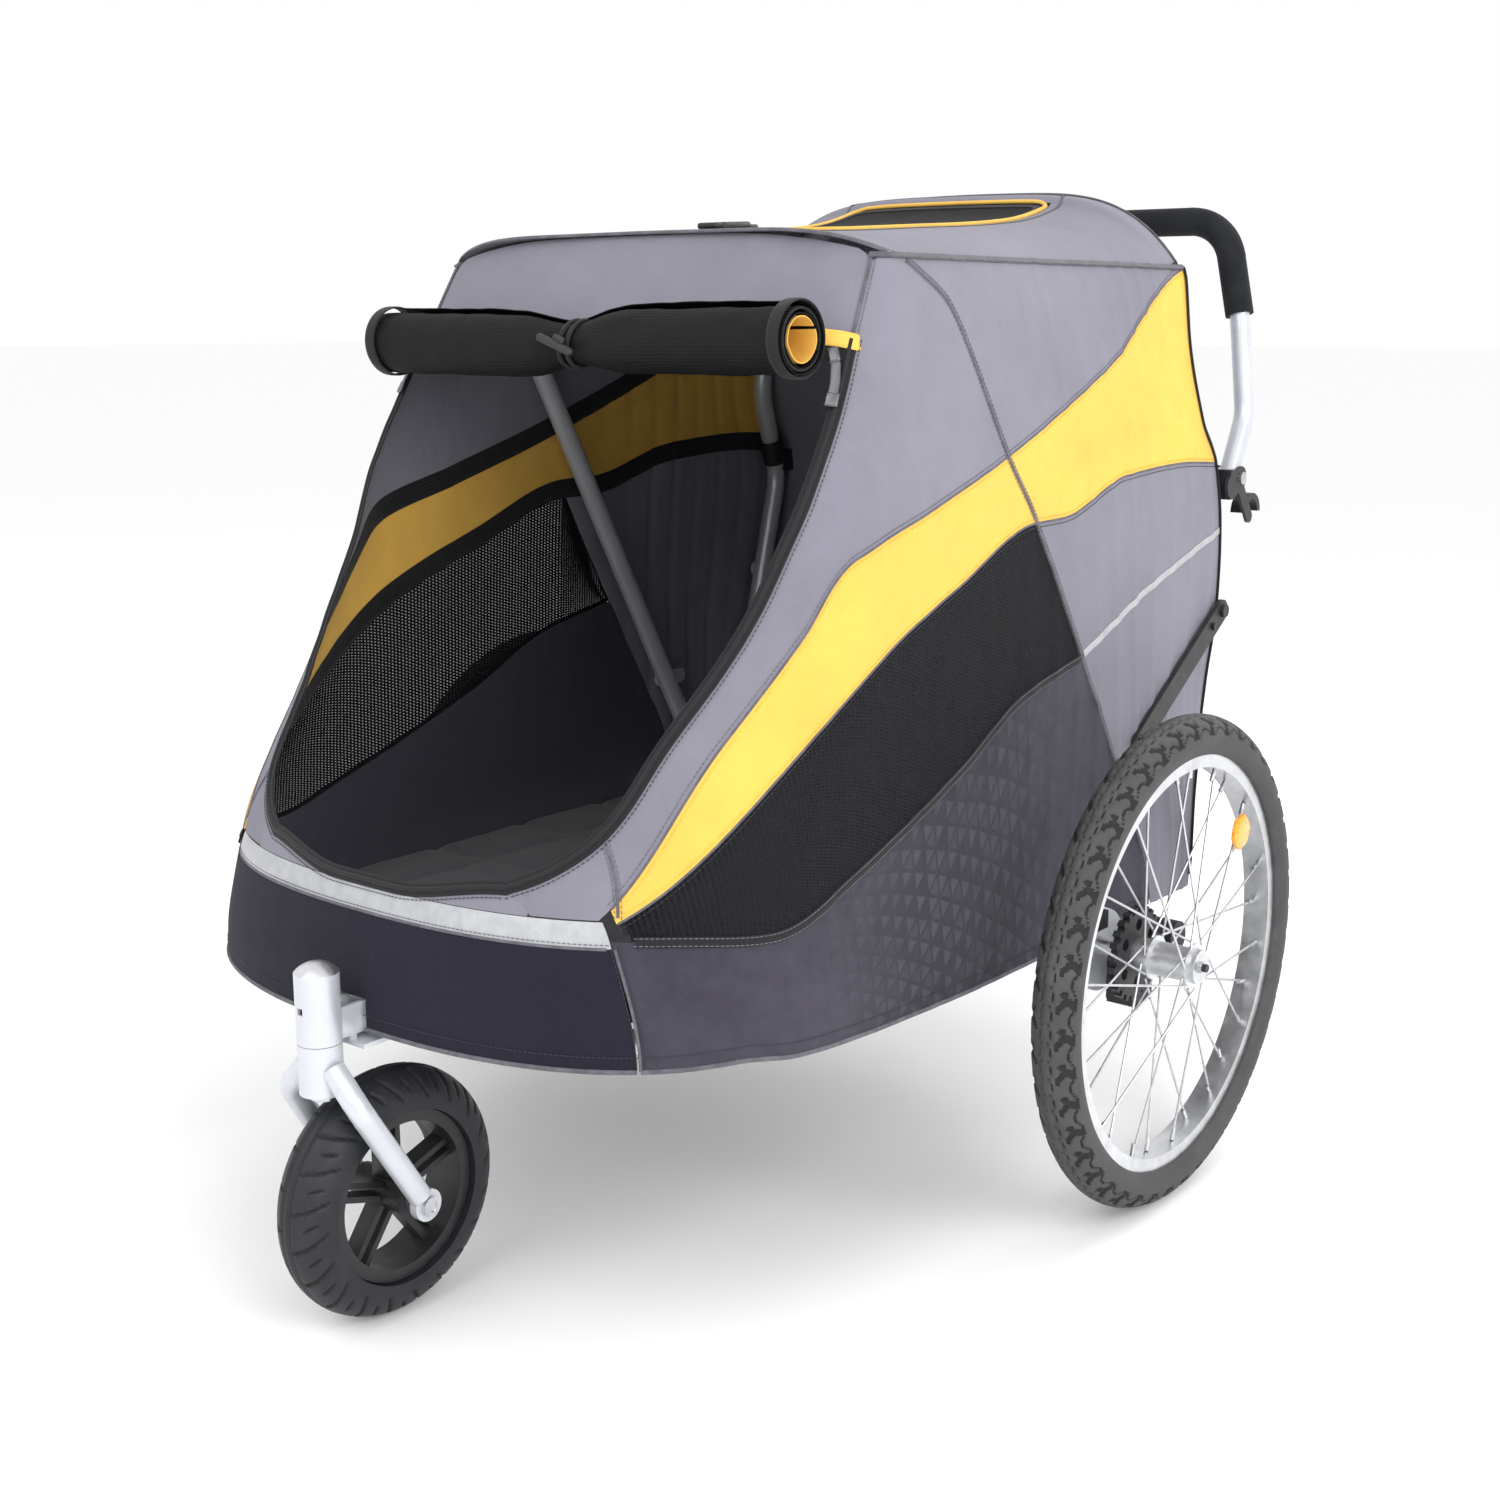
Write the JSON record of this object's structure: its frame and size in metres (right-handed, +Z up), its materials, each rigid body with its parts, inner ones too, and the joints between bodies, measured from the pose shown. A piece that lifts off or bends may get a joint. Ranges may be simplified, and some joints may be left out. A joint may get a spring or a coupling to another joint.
{
  "type": "pet trailer stroller",
  "caption": "Folding pet trailer and jogging stroller: fabric cabin with mesh windows on a silver tube frame, spoked rear wheels, swivel front caster, push handle.",
  "frame": {"origin": "on the ground, under the middle of the bounding box", "axes": "+Z up, -Y forward, +X the vehicle's left"},
  "size_m": [0.932, 1.1725, 1],
  "materials": {
    "cloth_grey": "woven polyester, matt",
    "cloth_yellow": "woven polyester, matt",
    "cloth_charcoal": "woven polyester with a tone-on-tone triangle print",
    "cloth_navy": "woven polyester, matt",
    "mesh_black": "open polyester mesh",
    "band_reflective": "retroreflective tape, satin",
    "webbing_black": "woven webbing",
    "mat_cloth": "padded polyester",
    "tube_silver": "silver powder coat, satin",
    "alloy": "satin anodised",
    "steel_zinc": "zinc plated",
    "tyre_rubber": "grey-black rubber, matt",
    "caster_rubber": "black rubber, satin",
    "plastic_black": "moulded, slightly rough",
    "grip_foam": "closed-cell foam, matt",
    "reflector_orange": "prismatic, glossy",
    "board_black": "coated board, matt"
  },
  "bodies": {
    "chassis": {"base_frame": "tube_silver", "head_tube": "tube_silver", "head_bracket": "tube_silver", "head_cap": "plastic_black", "head_bearings": "steel_zinc", "axle_tube": "tube_silver", "axle_saddles": "alloy", "axle_plates": "tube_silver", "wheel_axles": "steel_zinc", "brake_housings": "plastic_black", "hoop_brackets": "steel_zinc", "hoop_pins": "steel_zinc", "floor_board": "board_black", "floor_mat": "mat_cloth", "skirt_front": "cloth_navy", "reflective_band": "band_reflective", "side_lower_left": "cloth_charcoal", "side_lower_right": "cloth_charcoal", "side_mesh_left": "mesh_black", "side_mesh_right": "mesh_black", "side_rear_left": "cloth_grey", "side_rear_right": "cloth_grey", "side_upper_left": "cloth_grey", "side_upper_right": "cloth_grey", "rear_panel": "cloth_grey", "roof_cover": "cloth_grey", "roof_mesh": "mesh_black", "rolled_window": "mesh_black", "window_straps": "webbing_black"},
    "caster_fork": {"fork_crown": "tube_silver", "fork_blades": "tube_silver", "front_axle": "steel_zinc"},
    "front_wheel": {"front_tyre": "caster_rubber", "front_wheel_core": "plastic_black"},
    "front_bow": {"front_hoop": "tube_silver"},
    "rear_bow": {"rear_hoop": "tube_silver", "handle_brackets": "plastic_black", "handle_pins": "steel_zinc"},
    "push_handle": {"handlebar": "tube_silver", "handle_grip": "grip_foam"},
    "rear_wheel_left": {"rear_tyre_left": "tyre_rubber", "rear_rim_left": "alloy", "spokes_left": "steel_zinc", "rear_hub_left": "alloy", "hub_bearings_left": "steel_zinc", "brake_disc_left": "plastic_black", "wheel_reflector_left": "reflector_orange"},
    "release_left": {"release_button_left": "plastic_black"},
    "brake_left": {"brake_pedal_left": "plastic_black"},
    "side_brace_left": {"brace_left": "plastic_black"},
    "rear_wheel_right": {"rear_tyre_right": "tyre_rubber", "rear_rim_right": "alloy", "spokes_right": "steel_zinc", "rear_hub_right": "alloy", "hub_bearings_right": "steel_zinc", "brake_disc_right": "plastic_black", "wheel_reflector_right": "reflector_orange"},
    "release_right": {"release_button_right": "plastic_black"},
    "brake_right": {"brake_pedal_right": "plastic_black"},
    "side_brace_right": {"brace_right": "plastic_black"}
  },
  "joints": [
    {"name": "caster_swivel", "type": "hinge", "parent": "chassis", "child": "caster_fork", "pos_m": [0, -0.53971, 0.278], "axis": [0, 0, 1], "continuous": true},
    {"name": "front_wheel_spin", "type": "hinge", "parent": "caster_fork", "child": "front_wheel", "pos_m": [0, -0.47371, 0.1125], "axis": [1, 0, 0], "continuous": true},
    {"name": "fold", "type": "hinge", "parent": "chassis", "child": "front_bow", "pos_m": [0, 0.32029, 0.308], "axis": [1, 0, 0], "range_deg": [0, 46], "deforming": ["skirt_front", "reflective_band", "side_lower_left", "side_lower_right", "side_mesh_left", "side_mesh_right", "side_rear_left", "side_rear_right", "side_upper_left", "side_upper_right", "rear_panel", "roof_cover", "roof_mesh", "rolled_window", "window_straps"]},
    {"name": "rear_fold", "type": "hinge", "parent": "chassis", "child": "rear_bow", "pos_m": [0, 0.38029, 0.308], "axis": [1, 0, 0], "range_deg": [0, 75]},
    {"name": "handle_tilt", "type": "hinge", "parent": "rear_bow", "child": "push_handle", "pos_m": [0, 0.50271, 0.69], "axis": [1, 0, 0], "range_deg": [-45, 0]},
    {"name": "rear_wheel_spin_left", "type": "hinge", "parent": "chassis", "child": "rear_wheel_left", "pos_m": [0.427, 0.16529, 0.245], "axis": [1, 0, 0], "continuous": true},
    {"name": "wheel_release_left", "type": "slide", "parent": "chassis", "child": "release_left", "axis": [-1, 0, 0], "range_m": [0, 0.003], "stiffness_N_per_m": 600, "springref_m": -0.002},
    {"name": "parking_brake_left", "type": "hinge", "parent": "chassis", "child": "brake_left", "pos_m": [0, 0.23329, 0.219], "axis": [1, 0, 0], "range_deg": [-18, 0]},
    {"name": "brace_swing_left", "type": "hinge", "parent": "front_bow", "child": "side_brace_left", "pos_m": [0, 0.27929, 0.431], "axis": [1, 0, 0], "range_deg": [0, 90]},
    {"name": "rear_wheel_spin_right", "type": "hinge", "parent": "chassis", "child": "rear_wheel_right", "pos_m": [-0.427, 0.16529, 0.245], "axis": [1, 0, 0], "continuous": true},
    {"name": "wheel_release_right", "type": "slide", "parent": "chassis", "child": "release_right", "axis": [1, 0, 0], "range_m": [0, 0.003], "stiffness_N_per_m": 600, "springref_m": -0.002},
    {"name": "parking_brake_right", "type": "hinge", "parent": "chassis", "child": "brake_right", "pos_m": [0, 0.23329, 0.219], "axis": [1, 0, 0], "range_deg": [-18, 0]},
    {"name": "brace_swing_right", "type": "hinge", "parent": "front_bow", "child": "side_brace_right", "pos_m": [0, 0.27929, 0.431], "axis": [1, 0, 0], "range_deg": [0, 90]}
  ],
  "couplings": [
    {"joint": "rear_fold", "follows": "fold", "ratio": 1.63},
    {"joint": "brace_swing_left", "follows": "fold", "ratio": 1.93},
    {"joint": "brace_swing_right", "follows": "fold", "ratio": 1.93}
  ]
}
